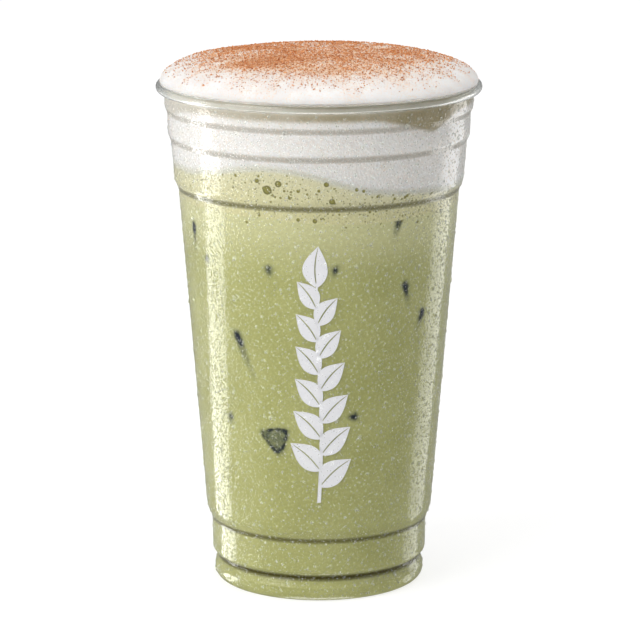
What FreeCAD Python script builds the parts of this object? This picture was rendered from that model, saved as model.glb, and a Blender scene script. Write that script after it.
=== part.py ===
"""Iced matcha latte in a clear, tapered, thin-walled plastic cup.

The cup stands on its foot at the origin, with +Z up and -Y as its front. It is one revolved shell with a
rolled lip, three stacking bands under the lip, and a heel band and a foot at the base. It holds three layers
that fill it wall to wall: the drink, a band of bubbly froth, and milk foam that domes over the lip.
Every size is in millimetres.
"""
import FreeCAD
import Part

import math
import os

from FreeCAD import Vector

# ---- Driving sizes: the cup -------------------------------------------------------------------------------
rim_diameter = 98.0         # across the outside of the rolled lip
cup_height = 153.6          # from the table to the top of the lip
wall = 0.4                  # thickness of the plastic
curl_bore = 1.05            # radius of the hollow inside the rolled lip
curl_end = -110.0           # degrees about the curl's centre at which the lip's free edge stops
neck_straight = 2.4         # plain upright wall below the lip
neck_fillet = 4.0

# From the lip down: the upright height and the taper of each band, then the height and inset of the step
# below it, and the roundings at the step's upper (outward) and lower (inward) corners.
stacking_bands = [
    {"height": 3.6, "taper": 0.25, "step": 1.8, "inset": 0.7, "outer_round": 1.2, "inner_round": 0.7},
    {"height": 6.2, "taper": 0.15, "step": 2.2, "inset": 0.9, "outer_round": 1.4, "inner_round": 0.8},
    {"height": 11.8, "taper": 0.95, "step": 3.0, "inset": 1.25, "outer_round": 3.0, "inner_round": 1.2},
]

shoulder_radius = 34.35     # bottom of the long tapering body
shoulder_height = 22.6
shoulder_round = 8.0
heel_top_radius = 32.85     # band between the body and the foot
heel_top_height = 19.2
heel_top_round = 0.5
heel_radius = 32.6
heel_height = 9.0
heel_round = 1.0
groove_radius = 30.7        # waist between the heel band and the foot
groove_height = 7.3
groove_round = 0.6
foot_radius = 32.0
foot_height = 4.2
foot_round = 1.7
foot_edge_round = 2.6       # between the foot's side and the ring that it stands on
ring_inner_radius = 26.6    # inner edge of that ring
ring_round = 0.9
recess_radius = 24.8        # panel under the cup, lifted clear of the table
recess_depth = 2.6
recess_round = 1.7

# ---- Driving sizes: the contents --------------------------------------------------------------------------
film = 0.05                 # gap between a layer and the wall, the lip or the next layer
dome_inset = 1.2            # from the outer edge of the lip in to the widest part of the foam above the lip
dome_seat = 0.35            # height of that widest part above the lip
dome_rise = 8.8             # from there up to the crown
dome_fullness = 3.0         # exponent of the crown's curve: 2 is an ellipse, and more is flatter on top
crown_stations = [0.0, 14.0, 32.0, 53.0, 75.0]   # degrees along the crown at which one arc gives way to the next
dome_lap = 95.0             # degrees about the curl's centre up to which the foam lies on the lip
foam_depth = 26.6           # from the lip down to the mean level of the foam's underside
foam_tilt = -3.0            # how much lower the underside is at the +X wall than at the middle
froth_depth = 34.8          # from the lip down to the mean level of the froth's underside
froth_tilt = -0.9

# Swells on the underside of the foam: where each is centred, how high it stands and how far it reaches.
foam_swells = [
    {"x": -12.0, "y": -42.0, "height": 6.3, "reach": 21.0},
    {"x": 24.0, "y": 30.0, "height": 3.4, "reach": 20.0},
    {"x": -30.0, "y": 26.0, "height": -2.4, "reach": 17.0},
]
froth_swells = [
    {"x": 10.0, "y": -38.0, "height": -1.2, "reach": 22.0},
    {"x": -16.0, "y": 34.0, "height": 1.4, "reach": 24.0},
]
surface_spans = 14          # spans along each side of a layer's surface


# ---- Sections ---------------------------------------------------------------------------------------------
def plane_point(radius, height):
    """A point of a section, which is drawn in the XZ plane."""
    return Vector(radius, 0.0, height)


def unit(start, end):
    """Unit vector, in the plane, from one corner to the next."""
    run, rise = end[0] - start[0], end[1] - start[1]
    length = math.hypot(run, rise)
    return run / length, rise / length


def turn_at(corners, i):
    """How far the outline turns at corner i, in radians. Positive is to the left, towards the axis."""
    before, after = unit(corners[i - 1], corners[i]), unit(corners[i], corners[i + 1])
    return math.atan2(before[0] * after[1] - before[1] * after[0], before[0] * after[0] + before[1] * after[1])


def offset_corners(corners, distance):
    """The same outline moved inwards: each corner is where its two moved lines meet, and arcs stay concentric."""
    moved = []
    for i, (radius, height, rounding) in enumerate(corners):
        after = unit(corners[i], corners[i + 1]) if i + 1 < len(corners) else unit(corners[i - 1], corners[i])
        before = unit(corners[i - 1], corners[i]) if i else after
        half = 0.5 * turn_at(corners, i) if 0 < i < len(corners) - 1 else 0.0
        bisector = unit((0.0, 0.0), (before[0] + after[0], before[1] + after[1]))
        shift = distance / math.cos(half)
        new_round = rounding - math.copysign(distance, half) if rounding else 0.0
        moved.append((radius - bisector[1] * shift, height + bisector[0] * shift, new_round))
    return moved


def rounded_edges(corners):
    """Edges of an outline through these corners, with a tangent arc of the given radius at each inner one."""
    edges = []
    pen = plane_point(*corners[0][:2])
    for i in range(1, len(corners) - 1):
        radius, height, rounding = corners[i]
        before, after = unit(corners[i - 1], corners[i]), unit(corners[i], corners[i + 1])
        turn = turn_at(corners, i)
        back = rounding * math.tan(abs(turn) / 2)
        start = plane_point(radius - before[0] * back, height - before[1] * back)
        end = plane_point(radius + after[0] * back, height + after[1] * back)
        to_middle = unit((0.0, 0.0), (after[0] - before[0], after[1] - before[1]))
        inset = rounding * (1 / math.cos(turn / 2) - 1)
        middle = plane_point(radius + to_middle[0] * inset, height + to_middle[1] * inset)
        edges.append(Part.makeLine(pen, start))
        edges.append(Part.Arc(start, middle, end).toShape())
        pen = end
    edges.append(Part.makeLine(pen, plane_point(*corners[-1][:2])))
    return edges


def arc_about(centre, radius, start_degrees, end_degrees):
    """An arc in the section's plane, from one angle to another about a centre."""
    points = []
    for share in (0.0, 0.5, 1.0):
        angle = math.radians(start_degrees + share * (end_degrees - start_degrees))
        across, up = radius * math.cos(angle), radius * math.sin(angle)
        points.append(plane_point(centre[0] + across, centre[1] + up))
    return Part.Arc(*points).toShape()


def revolved(edges):
    """The solid that a closed section makes when it turns once about Z."""
    face = Part.Face(Part.Wire(Part.__sortEdges__(edges)))
    return face.revolve(Vector(0, 0, 0), Vector(0, 0, 1), 360)


# ---- The cup ----------------------------------------------------------------------------------------------
lip_radius = curl_bore + wall
curl_centre = (rim_diameter / 2 - lip_radius, cup_height - lip_radius)
neck_radius = curl_centre[0] - curl_bore


def outer_corners():
    """Outside of the wall, from the axis under the cup, out and up to the spring of the lip."""
    corners = [
        (0.0, recess_depth, 0.0),
        (recess_radius, recess_depth, recess_round),
        (ring_inner_radius, 0.0, ring_round),
        (foot_radius, 0.0, foot_edge_round),
        (foot_radius, foot_height, foot_round),
        (groove_radius, groove_height, groove_round),
        (heel_radius, heel_height, heel_round),
        (heel_top_radius, heel_top_height, heel_top_round),
        (shoulder_radius, shoulder_height, shoulder_round),
    ]
    radius, height = neck_radius, curl_centre[1] - neck_straight
    above = [(radius, curl_centre[1], 0.0), (radius, height, neck_fillet)]
    for band in stacking_bands:
        radius, height = radius - band["taper"], height - band["height"]
        above.append((radius, height, band["outer_round"]))
        radius, height = radius - band["inset"], height - band["step"]
        above.append((radius, height, band["inner_round"]))
    return corners + above[::-1]


def make_cup():
    """A shell of even thickness whose top is rolled outwards into a hollow lip."""
    outer = outer_corners()
    inner = offset_corners(outer, wall)
    end = math.radians(curl_end)
    across, up = math.cos(end), math.sin(end)
    free_edge = Part.makeLine(
        plane_point(curl_centre[0] + curl_bore * across, curl_centre[1] + curl_bore * up),
        plane_point(curl_centre[0] + lip_radius * across, curl_centre[1] + lip_radius * up),
    )
    section = rounded_edges(outer) + rounded_edges(inner)
    section.append(arc_about(curl_centre, curl_bore, 180.0, curl_end))
    section.append(free_edge)
    section.append(arc_about(curl_centre, lip_radius, curl_end, 180.0))
    section.append(Part.makeLine(plane_point(*inner[0][:2]), plane_point(*outer[0][:2])))
    return revolved(section)


# ---- The contents -----------------------------------------------------------------------------------------
dome_radius = rim_diameter / 2 - dome_inset


def crown_point(angle):
    """A point on the crown's outline, a quarter of a full oval, from its widest ring (0) to its top (90)."""
    turn = math.radians(angle)
    radius = dome_radius * math.cos(turn) ** (2.0 / dome_fullness)
    return plane_point(radius, cup_height + dome_seat + dome_rise * math.sin(turn))


def crown_edges(start):
    """From the lip out to the foam's widest ring, then over the crown to the axis, in arcs end to end."""
    edges = [Part.makeLine(start, crown_point(0.0))]
    for low, high in zip(crown_stations, crown_stations[1:]):
        arc = Part.Arc(crown_point(low), crown_point(0.5 * (low + high)), crown_point(high))
        edges.append(arc.toShape())
    cap_edge = crown_point(crown_stations[-1])
    cap_rise = cup_height + dome_seat + dome_rise - cap_edge.z
    cap_radius = (cap_edge.x ** 2 + cap_rise ** 2) / (2.0 * cap_rise)
    cap_reach = math.degrees(math.asin(cap_edge.x / cap_radius))
    cap_centre = (0.0, cap_edge.z + cap_rise - cap_radius)
    edges.append(arc_about(cap_centre, cap_radius, 90.0 - cap_reach, 90.0))
    return edges


def make_contents():
    """All that the cup holds, as one solid: it follows the inside of the wall, laps the lip and domes up."""
    inside = offset_corners(outer_corners(), wall + film)
    lap_radius = lip_radius + film
    section = rounded_edges(inside)
    section.append(arc_about(curl_centre, lap_radius, 180.0, dome_lap))
    lap = math.radians(dome_lap)
    lap_end = plane_point(curl_centre[0] + lap_radius * math.cos(lap), curl_centre[1] + lap_radius * math.sin(lap))
    section += crown_edges(lap_end)
    crown_top = cup_height + dome_seat + dome_rise
    section.append(Part.makeLine(plane_point(0.0, crown_top), plane_point(*inside[0][:2])))
    return revolved(section)


def level_at(x, y, depth, tilt, swells):
    """Height of a layer's surface: its mean level, tilted along X, with a round swell added at each centre."""
    height = cup_height - depth + tilt * x / (rim_diameter / 2)
    for swell in swells:
        distance = math.hypot(x - swell["x"], y - swell["y"])
        height += swell["height"] * math.exp(-((distance / swell["reach"]) ** 2))
    return height


def space_above(depth, tilt, swells, lift=0.0):
    """A block whose wavy underside is a layer's surface and whose top is clear of the crown."""
    half = 0.6 * rim_diameter
    places = [half * (2 * i / surface_spans - 1) for i in range(surface_spans + 1)]
    rows = [[Vector(x, y, level_at(x, y, depth, tilt, swells) + lift) for y in places] for x in places]
    surface = Part.BSplineSurface()
    surface.interpolate(rows)
    return surface.toShape().extrude(Vector(0, 0, depth + dome_rise + cup_height / 4))


def make_layers():
    """The drink, the froth and the foam, cut from the contents by the two wavy surfaces."""
    contents = make_contents()
    over_drink = (froth_depth, froth_tilt, froth_swells)
    over_froth = (foam_depth, foam_tilt, foam_swells)
    return {
        "matcha_drink": contents.cut(space_above(*over_drink)),
        "matcha_froth": contents.common(space_above(*over_drink, lift=film)).cut(space_above(*over_froth)),
        "milk_foam": contents.common(space_above(*over_froth, lift=film)),
    }


def as_one_solid(name, shape):
    """The single closed solid in a shape, turned the right way out."""
    if len(shape.Solids) != 1:
        raise ValueError(f"{name} has {len(shape.Solids)} solids")
    solid = shape.Solids[0]
    if solid.Volume < 0:
        solid.reverse()
    if not solid.isValid():
        raise ValueError(f"{name} isn't a valid solid")
    return solid


def main():
    """Writes each node as its own STEP file, and prints its volume and height."""
    os.makedirs("parts", exist_ok=True)
    shapes = {"cup": make_cup(), **make_layers()}
    for name, shape in shapes.items():
        solid = as_one_solid(name, shape)
        solid.exportStep(f"parts/{name}.step")
        box = solid.BoundBox
        print(f"{name}: {solid.Volume / 1000:.2f} ml, z {box.ZMin:.2f} to {box.ZMax:.2f}, x to {box.XMax:.2f}")


main()
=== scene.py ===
# %% [markdown]
# # An iced matcha latte in a clear plastic cup
# The real object is a thin clear cup, filled wall to wall: a milky green drink with ice sunk in it, a band
# of bubbly froth, and milk foam that domes over the rolled lip under a dusting of cinnamon. Cold beads of
# water cover the outside. The CAD model gives the sizes and the places. Blender makes every surface again
# as a smooth mesh worked out with numpy, because the looks need finer shapes than the CAD's triangles.
#
# The first step loads the CAD frame, whose boxes give the cup's main sizes.

# %% Load the frame
import math

import bpy
import numpy as np
from mathutils import Matrix, Vector


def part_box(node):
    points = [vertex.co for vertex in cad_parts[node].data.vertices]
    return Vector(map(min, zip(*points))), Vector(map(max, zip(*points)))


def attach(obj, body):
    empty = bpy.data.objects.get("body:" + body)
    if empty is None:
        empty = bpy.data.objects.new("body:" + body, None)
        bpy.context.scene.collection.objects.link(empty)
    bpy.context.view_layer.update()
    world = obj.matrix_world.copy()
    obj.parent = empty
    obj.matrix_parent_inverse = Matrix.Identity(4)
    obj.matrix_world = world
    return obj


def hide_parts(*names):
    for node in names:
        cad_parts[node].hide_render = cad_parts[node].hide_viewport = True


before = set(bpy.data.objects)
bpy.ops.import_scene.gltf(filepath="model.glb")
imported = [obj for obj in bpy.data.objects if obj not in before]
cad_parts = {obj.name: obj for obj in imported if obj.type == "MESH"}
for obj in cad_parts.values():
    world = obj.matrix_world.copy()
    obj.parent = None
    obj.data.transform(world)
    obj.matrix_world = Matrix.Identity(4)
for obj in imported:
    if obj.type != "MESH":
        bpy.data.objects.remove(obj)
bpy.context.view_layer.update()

# %% [markdown]
# All shapes below are worked out in millimetres, in the CAD's own frame: +Z up, -Y the front, the foot's
# ring at height zero. One number turns them into Blender's metres. The rim's radius and the cup's height
# are read from the frame. The smaller sizes of the wall's section are the ones that the cup is drawn from.

# %% Sizes of the cup
MM = 0.001
cup_low, cup_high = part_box("cup")
rim_radius = 0.5 * (cup_high[0] - cup_low[0]) / MM
cup_height = cup_high[2] / MM
crown_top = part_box("milk_foam")[1][2] / MM
wall = 0.4
curl_bore = 1.05
curl_end = -110.0
lip_radius = curl_bore + wall
curl_centre = np.array([rim_radius - lip_radius, cup_height - lip_radius])
neck_radius = curl_centre[0] - curl_bore
print(f"rim radius {rim_radius:.2f} mm, lip at {cup_height:.2f} mm, crown at {crown_top:.2f} mm")

# %% [markdown]
# The wall's section is an outline of corners, each with its own rounding: the recess under the base, the
# ring it stands on, the foot, the heel band, the straight side, and three stacking bands below the lip.
# Stating corners and roundings keeps the section short, and every arc is exactly tangent to its neighbours.

# %% Corners of the wall
base_corners = [
    # radius, height, rounding
    (0.0, 2.6, 0.0),          # middle of the recess
    (24.8, 2.6, 1.7),         # edge of the recess
    (26.6, 0.0, 0.9),         # inside of the ring that stands on the table
    (32.0, 0.0, 2.6),         # foot
    (32.0, 4.2, 1.7),
    (30.7, 7.3, 0.6),         # groove above the foot
    (32.6, 9.0, 1.0),         # heel band
    (32.85, 19.2, 0.5),
    (34.35, 22.6, 8.0),       # shoulder, where the long straight side begins
]
neck_straight = 2.4
neck_rounding = 4.0
stacking_bands = [
    # height, taper, step, inset, outer rounding, inner rounding
    (3.6, 0.25, 1.8, 0.7, 1.2, 0.7),
    (6.2, 0.15, 2.2, 0.9, 1.4, 0.8),
    (11.8, 0.95, 3.0, 1.25, 3.0, 1.2),
]


def wall_corners():
    """Corners from the axis out and up to the lip; each band hangs below the one above it."""
    radius, height = neck_radius, curl_centre[1] - neck_straight
    upper = [(radius, curl_centre[1], 0.0), (radius, height, neck_rounding)]
    for band, taper, step, inset, outer_rounding, inner_rounding in stacking_bands:
        radius, height = radius - taper, height - band
        upper.append((radius, height, outer_rounding))
        radius, height = radius - inset, height - step
        upper.append((radius, height, inner_rounding))
    return np.array(base_corners + upper[::-1])


def rounded_outline(corners, steps=8):
    """Points and inward normals along straight runs joined by tangent arcs.

    An arc starts rounding * tan(turn / 2) before its corner, and its centre lies one rounding to the side
    that the outline turns to. Its points are the centre plus the first spoke, turned by shares of the turn.
    """
    place, rounding = corners[:, :2], corners[1:-1, 2:]
    along = np.diff(place, axis=0)
    along /= np.linalg.norm(along, axis=1, keepdims=True)
    before, after = along[:-1], along[1:]
    turn = np.arctan2(before[:, 0] * after[:, 1] - before[:, 1] * after[:, 0], (before * after).sum(axis=1))
    left = np.stack([-before[:, 1], before[:, 0]], axis=1)
    start = place[1:-1] - before * rounding * np.tan(np.abs(turn) / 2)[:, None]
    centre = start + left * rounding * np.sign(turn)[:, None]
    angle = turn[:, None] * np.linspace(0, 1, steps)
    cosine, sine = np.cos(angle)[..., None], np.sin(angle)[..., None]

    def turned(arrow):
        """Each corner's arrow, turned by every share of that corner's turn."""
        quarter = np.stack([-arrow[:, 1], arrow[:, 0]], axis=1)
        return arrow[:, None] * cosine + quarter[:, None] * sine

    arcs = (centre[:, None] + turned(start - centre)).reshape(-1, 2)
    inward = turned(left).reshape(-1, 2)
    ends = np.stack([-along[[0, -1], 1], along[[0, -1], 0]], axis=1)
    points = np.vstack([place[:1], arcs, place[-1:]])
    return points, np.vstack([ends[:1], inward, ends[1:]])


wall_outside, wall_inward = rounded_outline(wall_corners())
print(len(wall_outside), "points along the outside of the wall")

# %% [markdown]
# Every piece is a surface over a grid of two parameters. These helpers turn such grids into closed meshes:
# a grid that joins round the axis, caps that close to one point at a pole, and one function that puts the
# result in the scene, hides the CAD node that it replaces and says which body it rides on.

# %% Mesh helpers
SHARP_FROM = 60.0


def ring_faces(rows, columns):
    """Four-sided faces between neighbouring rows of a grid whose columns join round, outside outwards."""
    row, column = np.meshgrid(np.arange(rows - 1), np.arange(columns), indexing="ij")
    nearby = (column + 1) % columns
    corners = [row * columns + column, row * columns + nearby,
               (row + 1) * columns + nearby, (row + 1) * columns + column]
    return np.stack(corners, axis=-1).reshape(-1, 4)


def fan_faces(pole, first, columns, upward):
    """Triangles from one point to a ring that starts at index first, facing up or down."""
    column = np.arange(columns)
    nearby = (column + 1) % columns
    ring = [first + column, first + nearby] if upward else [first + nearby, first + column]
    return np.stack([*ring, np.full(columns, pole)], axis=-1)


def spun(radius, height, angle):
    """Turn (radius, height) about Z: x = radius * sin, y = -radius * cos, with the front at zero."""
    return np.stack(np.broadcast_arrays(radius * np.sin(angle), -radius * np.cos(angle), height), axis=-1)


def body_faces(rows, columns):
    """Faces of a grid of rings that closes to a bottom point and a top point, the two vertices after it."""
    count = rows * columns
    faces = ring_faces(rows, columns).tolist()
    faces += fan_faces(count, 0, columns, upward=False).tolist()
    return faces + fan_faces(count + 1, count - columns, columns, upward=True).tolist()


def body_of_rings(points, bottom, top):
    """Vertices and faces of a closed body: a grid of rings between a bottom point and a top point."""
    return np.vstack([points.reshape(-1, 3), [bottom], [top]]), body_faces(*points.shape[:2])


def add_piece(name, vertices, faces, material, stands_for=(), values=None):
    """Make the object, with its values by vertex, its finish and its body, and hide what it replaces."""
    mesh = bpy.data.meshes.new(name)
    mesh.from_pydata((np.asarray(vertices) * MM).tolist(), [], faces)
    mesh.polygons.foreach_set("use_smooth", [True] * len(mesh.polygons))
    mesh.set_sharp_from_angle(angle=math.radians(SHARP_FROM))
    for title, numbers in (values or {}).items():
        layer = mesh.attributes.new(title, "FLOAT", "POINT")
        layer.data.foreach_set("value", np.asarray(numbers, dtype=np.float32).ravel())
    mesh.materials.append(material)
    piece = bpy.data.objects.new(name, mesh)
    bpy.context.scene.collection.objects.link(piece)
    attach(piece, "root")
    if stands_for:
        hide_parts(*stands_for)
    triangles = sum(len(face) - 2 for face in faces)
    print(f"{name}: {len(vertices)} vertices, {triangles} triangles")


# %% [markdown]
# Food is never quite regular. Soft unevenness comes from value noise: random numbers on the corners of a
# lattice of cubes, blended smoothly between them. It is a function of the place alone, so two pieces that
# share an edge get the same wobble there, and it closes on itself round the cup.

# %% Soft unevenness
LATTICE = 32


def smoothstep(low, high, value):
    """0 below low, 1 above high, and 3 s^2 - 2 s^3 of the share s between them."""
    share = np.clip((value - low) / (high - low), 0.0, 1.0)
    return share * share * (3.0 - 2.0 * share)


def uneven(points, size, seed):
    """Value noise between -1 and 1 with lumps of the given size, in mm."""
    table = np.random.default_rng(seed).uniform(-1.0, 1.0, (LATTICE, LATTICE, LATTICE))
    scaled = np.asarray(points, dtype=float) / size
    corner = np.floor(scaled).astype(int)
    share = scaled - corner
    share = share * share * (3.0 - 2.0 * share)
    total = np.zeros(scaled.shape[:-1])
    for step in np.ndindex(2, 2, 2):
        weight = np.prod(np.where(step, share, 1.0 - share), axis=-1)
        index = (corner + step) % LATTICE
        total += weight * table[index[..., 0], index[..., 1], index[..., 2]]
    return total


def on_plane(x, y):
    """Points at height zero, so that the unevenness of a level doesn't depend on its own height."""
    return np.stack([x, y, np.zeros_like(x)], axis=-1)


# %% [markdown]
# A material is a tree of nodes, but its sums read best as Python. The class Signal wraps a socket, and +,
# -, * and / on it add the Math nodes that work the answer out. The class Finish holds one material: its
# method node() adds any kind of node, and the others are short names for the kinds that are used often.

# %% Shader arithmetic
class Signal:
    """A number that varies over a surface, as a node's output socket."""

    def __init__(self, finish, socket):
        self.finish = finish
        self.socket = socket

    def math(self, operation, *values):
        return self.finish.node("ShaderNodeMath", {"operation": operation}, dict(enumerate(values)))

    def __add__(self, other):
        return self.math("ADD", self, other)

    def __sub__(self, other):
        return self.math("SUBTRACT", self, other)

    def __rsub__(self, other):
        return self.math("SUBTRACT", other, self)

    def __mul__(self, other):
        return self.math("MULTIPLY", self, other)

    def __truediv__(self, other):
        return self.math("DIVIDE", self, other)

    __radd__ = __add__
    __rmul__ = __mul__

    def at_least(self, floor):
        return self.math("MAXIMUM", self, floor)

    def at_most(self, ceiling):
        return self.math("MINIMUM", self, ceiling)

    def rise(self, low, high):
        """0 below low, 1 above high, smooth between."""
        settings = {"interpolation_type": "SMOOTHSTEP"}
        return self.finish.node("ShaderNodeMapRange", settings, {0: self, 1: low, 2: high, 3: 0.0, 4: 1.0})


def srgb(red, green, blue):
    """A colour as it is seen, 0 to 255 for each part, as the linear numbers that a shader takes."""
    seen = np.array([red, green, blue]) / 255.0
    linear = np.where(seen <= 0.04045, seen / 12.92, ((seen + 0.055) / 1.055) ** 2.4)
    return (*linear.tolist(), 1.0)


class Finish:
    """One material, or the sky, built up node by node."""

    def __init__(self, name, kind=bpy.data.materials):
        self.owner = kind.new(name)
        self.owner.use_nodes = True
        self.tree = self.owner.node_tree
        self.tree.nodes.clear()

    def node(self, kind, settings=None, inputs=None, output=0):
        """Add a node, make its settings, then set or link its inputs, and return one of its outputs."""
        made = self.tree.nodes.new(kind)
        for title, value in (settings or {}).items():
            setattr(made, title, value)
        for socket, value in (inputs or {}).items():
            if isinstance(value, Signal):
                self.tree.links.new(value.socket, made.inputs[socket])
            else:
                made.inputs[socket].default_value = value
        return Signal(self, made.outputs[output]) if made.outputs else None

    def place(self):
        """The point on the object, in metres."""
        return self.node("ShaderNodeTexCoord", output="Object")

    def value(self, title):
        """A number that the mesh carries by vertex."""
        return self.node("ShaderNodeAttribute", {"attribute_name": title}, output="Fac")

    def noise(self, size, detail=3.0, roughness=0.5):
        """Fractal noise about 0.5 with lumps of this size, in mm."""
        shape = {"Scale": 1.0 / (size * MM), "Detail": detail, "Roughness": roughness}
        return self.node("ShaderNodeTexNoise", None, {"Vector": self.place(), **shape})

    def cells(self, size, output="Distance"):
        """Distance, in cells, to the nearest of scattered points this far apart, or that point's colour."""
        inputs = {"Vector": self.place(), "Scale": 1.0 / (size * MM)}
        return self.node("ShaderNodeTexVoronoi", None, inputs, output)

    def cell_number(self, size):
        """A random number from 0 to 1, the same all over each cell."""
        return self.node("ShaderNodeSeparateColor", None, {0: self.cells(size, "Color")})

    def blend(self, share, first, second):
        """The first colour where share is 0, the second where it is 1."""
        return self.node("ShaderNodeMix", {"data_type": "RGBA"}, {"Factor": share, 6: first, 7: second}, 2)

    def relief(self, height, depth):
        """A normal tilted by a height map whose full range is depth, in mm."""
        inputs = {"Strength": 1.0, "Distance": depth * MM, "Filter Width": 0.1, "Height": height}
        return self.node("ShaderNodeBump", None, inputs)

    def surface(self, **sockets):
        """A Principled shader; socket names are written with underscores."""
        inputs = {title.replace("_", " "): value for title, value in sockets.items()}
        return self.node("ShaderNodeBsdfPrincipled", None, inputs)

    def ray(self, kind):
        """1 for rays of this kind and 0 for the others."""
        return self.node("ShaderNodeLightPath", output=f"Is {kind} Ray")

    def clear_to_lamps(self, shader):
        """Let lamplight straight through, so that a clear piece doesn't darken what is inside it."""
        gone = self.node("ShaderNodeBsdfTransparent")
        return self.node("ShaderNodeMixShader", None, {0: self.ray("Shadow"), 1: shader, 2: gone})

    def done(self, shader, output="ShaderNodeOutputMaterial"):
        """Connect the shader to the output and return the material."""
        self.node(output, None, {"Surface": shader})
        return self.owner


# %% [markdown]
# The cup is thermoformed from one sheet of clear plastic: the wall keeps its thickness all the way and ends
# in a lip rolled outwards, whose edge hangs free. So its section is one closed loop: up the outside, round
# the hollow of the lip, back round the lip's outer face, and down the inside. Clear plastic needs its real
# thickness, or light would not bend and gather at the lip and the steps as it does on the real cup.

# %% The clear plastic
MIST_SPACING = 0.85
MIST_HEIGHT = 0.16
MIST_DROP = (0.05, 0.46)


def clear_plastic():
    """Thin clear plastic, wet all over: mist tilts its normal, because its drops are too small to model."""
    finish = Finish("clear_plastic")
    drops = 1.0 - finish.cells(MIST_SPACING).rise(*MIST_DROP)
    mist = finish.noise(1.4, detail=1.0) * 0.25 + drops * 0.75
    normal = finish.relief(mist * finish.value("wet"), MIST_HEIGHT)
    plastic = finish.surface(Base_Color=srgb(250, 252, 249), Roughness=0.12, IOR=1.46,
                             Transmission_Weight=1.0, Normal=normal)
    return finish.done(finish.clear_to_lamps(plastic))


# %% [markdown]
# The outline turns once about Z. The more columns the ring has, the smoother the long highlights down the
# side. Mist settles on the outside only, from just above the table to just below the lip.

# %% The cup
CUP_COLUMNS = 320
MIST_STARTS = (1.0, 2.5)
MIST_STOPS = (149.0, 150.5)


def arc(centre, radius, start, end, steps):
    """Points of an arc in the section's plane, with its angles in degrees."""
    angle = np.radians(np.linspace(start, end, steps))
    return centre + radius * np.stack([np.cos(angle), np.sin(angle)], axis=1)


def make_cup():
    """Outside, hollow of the lip, outer face of the lip, inside: one loop turned about Z."""
    inside = wall_outside + wall_inward * wall
    hollow = arc(curl_centre, curl_bore, 180.0, curl_end, 20)[1:]
    lip = arc(curl_centre, lip_radius, curl_end, 180.0, 24)[:-1]
    loop = np.vstack([wall_outside, hollow, lip, inside[::-1]])
    angle = np.linspace(0.0, 2.0 * np.pi, CUP_COLUMNS, endpoint=False)
    rings = spun(loop[1:-1, :1], loop[1:-1, 1:], angle[None, :])
    vertices, faces = body_of_rings(rings, (0.0, 0.0, loop[0, 1]), (0.0, 0.0, loop[-1, 1]))
    outside = np.arange(len(loop)) < len(wall_outside)
    wet = outside * smoothstep(*MIST_STARTS, loop[:, 1]) * (1.0 - smoothstep(*MIST_STOPS, loop[:, 1]))
    wet = np.concatenate([np.repeat(wet[1:-1], CUP_COLUMNS), [0.0, 0.0]])
    add_piece("clear_cup", vertices, faces, clear_plastic(), ["cup"], {"wet": wet})


make_cup()

# %% [markdown]
# The drink, the froth and the foam fill the cup wall to wall, so their sides are the wall's own outline
# moved inwards. They stop inside the thickness of the plastic and not at its inner face, because even a
# hair of air between plastic and drink would mirror like foil. Two wavy levels divide them: each is a
# tilted plane with a few round swells and a little unevenness. Both neighbours of a level use the same
# function, so they meet exactly.

# %% Levels between the layers
CONTENT_COLUMNS = 400
REACH_INTO_WALL = 0.15
ABOVE_FOOT = 12.0
columns = np.linspace(0.0, 2.0 * np.pi, CONTENT_COLUMNS, endpoint=False)
side = wall_outside + wall_inward * (wall - REACH_INTO_WALL)

foam_level = {
    "depth": 26.6, "tilt": -3.0, "seed": 5,
    "swells": [(-12.0, -42.0, 6.3, 21.0), (24.0, 30.0, 3.4, 20.0), (-30.0, 26.0, -2.4, 17.0)],
}
froth_level = {
    "depth": 34.8, "tilt": -0.9, "seed": 6,
    "swells": [(10.0, -38.0, -1.2, 22.0), (-16.0, 34.0, 1.4, 24.0)],
}


def above_foot(outline):
    """The part of an outline above the foot, where it passes each height once."""
    return outline[np.argmax(outline[:, 1] > ABOVE_FOOT):]


side_above_foot = above_foot(side)


def side_radius(height):
    """Radius of the contents where they touch the wall at this height."""
    return np.interp(height, side_above_foot[:, 1], side_above_foot[:, 0])


def at_azimuth(azimuth, by_column):
    """What is known for every column, read off at these azimuths."""
    return np.interp(azimuth % (2.0 * np.pi), columns, by_column)


def level_height(x, y, level):
    """Depth below the lip, a tilt along X, a bell-shaped swell at each centre, and two sizes of lumps."""
    height = cup_height - level["depth"] + level["tilt"] * x / rim_radius
    for centre_x, centre_y, swell, reach in level["swells"]:
        height = height + swell * np.exp(-((x - centre_x) ** 2 + (y - centre_y) ** 2) / reach ** 2)
    flat = on_plane(x, y)
    return height + 0.35 * uneven(flat, 7.0, level["seed"]) + 0.15 * uneven(flat, 2.2, level["seed"] + 10)


def level_pole(level):
    """The point of a level on the axis, which closes its rings."""
    return 0.0, 0.0, float(level_height(np.zeros(1), np.zeros(1), level)[0])


def level_at_wall(level):
    """Height at which a level meets the wall, for every column: three rounds settle radius and height."""
    height = np.full_like(columns, cup_height - level["depth"])
    for _ in range(3):
        ring = spun(side_radius(height), height, columns)
        height = level_height(ring[:, 0], ring[:, 1], level)
    return height


def level_rings(level, shares):
    """Rings of a level, at these shares of the way out to the wall."""
    edge = side_radius(level_at_wall(level))
    rings = spun(shares[:, None] * edge[None, :], 0.0, columns[None, :])
    rings[..., 2] = level_height(rings[..., 0], rings[..., 1], level)
    return rings


def side_rings(bottom, top, rows):
    """Rings up the wall, spaced evenly in every column from its bottom height to its top height."""
    share = np.linspace(0.0, 1.0, rows)[:, None]
    height = bottom + (top - bottom) * share
    return spun(side_radius(height), height, columns[None, :])


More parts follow.
